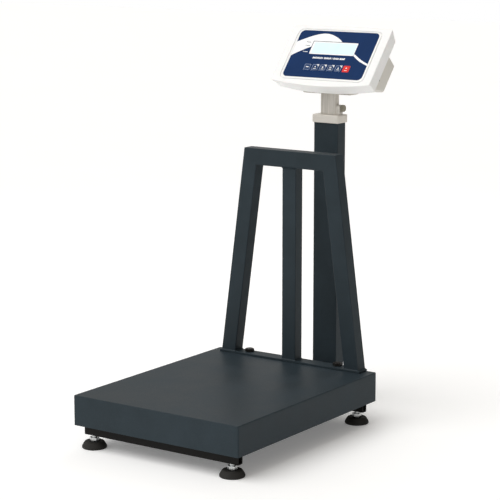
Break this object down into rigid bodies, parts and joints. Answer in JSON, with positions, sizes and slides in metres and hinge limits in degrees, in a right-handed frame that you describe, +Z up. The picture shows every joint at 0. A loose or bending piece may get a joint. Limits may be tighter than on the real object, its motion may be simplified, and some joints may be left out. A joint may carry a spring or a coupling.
{
  "type": "platform shipping scale",
  "caption": "Floor scale with a low steel deck on levelling feet, an A-shaped load guard at the back, and a column with a swivelling, tilting display and keypad.",
  "frame": {"origin": "centre of the scale's footprint, on the floor", "axes": "+Z up, +Y from the deck's front edge towards the load guard and column, +X to the right of someone facing the display"},
  "size_m": [0.4, 0.7036, 0.8083],
  "materials": {
    "slate_coat": "slate grey powder coat, fine matt texture",
    "frame_coat": "black powder coat, satin",
    "zinc": "bright zinc plate",
    "cell_aluminium": "machined and clear anodised",
    "blackened_steel": "black oxide",
    "ivory_plastic": "moulded ABS, fine grain",
    "grey_ivory_plastic": "moulded ABS, fine grain",
    "khaki_plastic": "moulded nylon",
    "overlay_film": "printed polyester film, satin",
    "blue_key_film": "embossed polyester film, satin",
    "red_key_film": "embossed polyester film, satin",
    "clear_window": "clear acrylic over a pale backlit display",
    "circuit_board": "green solder mask",
    "battery_wrap": "shrink wrap",
    "socket_plastic": "moulded nylon",
    "black_rubber": "moulded rubber, matt"
  },
  "bodies": {
    "base": {"base_front_beam": "frame_coat", "base_rear_beam": "frame_coat", "base_left_rail": "frame_coat", "base_right_rail": "frame_coat", "cell_mount_plate": "frame_coat", "load_cell": "cell_aluminium", "cell_lower_bolt_front": "zinc", "cell_lower_bolt_rear": "zinc", "stop_bolt_left": "zinc", "stop_bolt_right": "zinc", "column_bracket": "frame_coat", "column_tube": "slate_coat", "column_cap": "ivory_plastic", "swivel_post": "zinc"},
    "platform": {"spider_plate": "frame_coat", "spider_left_rail": "frame_coat", "spider_right_rail": "frame_coat", "cell_upper_bolt_front": "zinc", "cell_upper_bolt_rear": "zinc", "deck_pad_front_left": "black_rubber", "deck_pad_front_right": "black_rubber", "deck_pad_rear_left": "black_rubber", "deck_pad_rear_right": "black_rubber", "deck_tray": "slate_coat", "guard_base_plate": "slate_coat", "guard_left_leg": "slate_coat", "guard_right_leg": "slate_coat", "guard_top_bar": "slate_coat", "guard_centre_bar": "slate_coat", "guard_left_bolt": "blackened_steel", "guard_right_bolt": "blackened_steel"},
    "foot_front_left": {"foot_cup_front_left": "black_rubber"},
    "stud_front_left": {"foot_stud_front_left": "zinc"},
    "foot_front_right": {"foot_cup_front_right": "black_rubber"},
    "stud_front_right": {"foot_stud_front_right": "zinc"},
    "foot_rear_left": {"foot_cup_rear_left": "black_rubber"},
    "stud_rear_left": {"foot_stud_rear_left": "zinc"},
    "foot_rear_right": {"foot_cup_rear_right": "black_rubber"},
    "stud_rear_right": {"foot_stud_rear_right": "zinc"},
    "neck": {"neck_sleeve": "grey_ivory_plastic", "tilt_yoke": "grey_ivory_plastic"},
    "thumb_screw": {"thumb_screw": "khaki_plastic"},
    "head": {"front_shell": "ivory_plastic", "rear_shell": "grey_ivory_plastic", "keypad_overlay": "overlay_film", "display_window": "clear_window", "display_module": "circuit_board", "main_board": "circuit_board", "battery_pack": "battery_wrap", "battery_cover": "grey_ivory_plastic", "load_cell_socket": "socket_plastic", "power_socket": "socket_plastic", "tilt_screw_left": "zinc", "tilt_screw_right": "zinc"},
    "key_1": {"key_1": "blue_key_film"},
    "key_2": {"key_2": "blue_key_film"},
    "key_3": {"key_3": "blue_key_film"},
    "key_4": {"key_4": "blue_key_film"},
    "key_5": {"key_5": "blue_key_film"},
    "key_6": {"key_6": "red_key_film"}
  },
  "joints": [
    {"name": "platform_travel", "type": "slide", "parent": "base", "child": "platform", "axis": [0, 0, 1], "range_m": [-0.0006, 0], "stiffness_N_per_m": 1000000, "springref_m": 0.00012, "deforming": ["load_cell"]},
    {"name": "foot_front_left_level", "type": "slide", "parent": "base", "child": "foot_front_left", "axis": [0, 0, 1], "range_m": [-0.01, 0.003]},
    {"name": "foot_front_left_turn", "type": "hinge", "parent": "foot_front_left", "child": "stud_front_left", "pos_m": [-0.16835, -0.3268, 0.018], "axis": [0, 0, 1], "range_deg": [-2400, 720]},
    {"name": "foot_front_right_level", "type": "slide", "parent": "base", "child": "foot_front_right", "axis": [0, 0, 1], "range_m": [-0.01, 0.003]},
    {"name": "foot_front_right_turn", "type": "hinge", "parent": "foot_front_right", "child": "stud_front_right", "pos_m": [0.16835, -0.3268, 0.018], "axis": [0, 0, 1], "range_deg": [-2400, 720]},
    {"name": "foot_rear_left_level", "type": "slide", "parent": "base", "child": "foot_rear_left", "axis": [0, 0, 1], "range_m": [-0.01, 0.003]},
    {"name": "foot_rear_left_turn", "type": "hinge", "parent": "foot_rear_left", "child": "stud_rear_left", "pos_m": [-0.16835, 0.1232, 0.018], "axis": [0, 0, 1], "range_deg": [-2400, 720]},
    {"name": "foot_rear_right_level", "type": "slide", "parent": "base", "child": "foot_rear_right", "axis": [0, 0, 1], "range_m": [-0.01, 0.003]},
    {"name": "foot_rear_right_turn", "type": "hinge", "parent": "foot_rear_right", "child": "stud_rear_right", "pos_m": [0.16835, 0.1232, 0.018], "axis": [0, 0, 1], "range_deg": [-2400, 720]},
    {"name": "neck_swivel", "type": "hinge", "parent": "base", "child": "neck", "pos_m": [0, 0.2753, 0.6228], "axis": [0, 0, 1], "range_deg": [-170, 170]},
    {"name": "thumb_screw_turn", "type": "hinge", "parent": "neck", "child": "thumb_screw", "pos_m": [0.033, 0.2753, 0.637], "axis": [1, 0, 0], "range_deg": [0, 720]},
    {"name": "head_tilt", "type": "hinge", "parent": "neck", "child": "head", "pos_m": [0, 0.28822, 0.69003], "axis": [1, 0, 0], "range_deg": [-30, 15]},
    {"name": "key_1_press", "type": "slide", "parent": "head", "child": "key_1", "axis": [0, 0.7615, -0.6481], "range_m": [0, 0.0004], "stiffness_N_per_m": 1500, "springref_m": -0.0004},
    {"name": "key_2_press", "type": "slide", "parent": "head", "child": "key_2", "axis": [0, 0.7615, -0.6481], "range_m": [0, 0.0004], "stiffness_N_per_m": 1500, "springref_m": -0.0004},
    {"name": "key_3_press", "type": "slide", "parent": "head", "child": "key_3", "axis": [0, 0.7615, -0.6481], "range_m": [0, 0.0004], "stiffness_N_per_m": 1500, "springref_m": -0.0004},
    {"name": "key_4_press", "type": "slide", "parent": "head", "child": "key_4", "axis": [0, 0.7615, -0.6481], "range_m": [0, 0.0004], "stiffness_N_per_m": 1500, "springref_m": -0.0004},
    {"name": "key_5_press", "type": "slide", "parent": "head", "child": "key_5", "axis": [0, 0.7615, -0.6481], "range_m": [0, 0.0004], "stiffness_N_per_m": 1500, "springref_m": -0.0004},
    {"name": "key_6_press", "type": "slide", "parent": "head", "child": "key_6", "axis": [0, 0.7615, -0.6481], "range_m": [0, 0.0004], "stiffness_N_per_m": 1500, "springref_m": -0.0004}
  ],
  "couplings": [
    {"joint": "foot_front_left_turn", "follows": "foot_front_left_level", "rad_per_m": 4188.8},
    {"joint": "foot_front_right_turn", "follows": "foot_front_right_level", "rad_per_m": 4188.8},
    {"joint": "foot_rear_left_turn", "follows": "foot_rear_left_level", "rad_per_m": 4188.8},
    {"joint": "foot_rear_right_turn", "follows": "foot_rear_right_level", "rad_per_m": 4188.8}
  ]
}
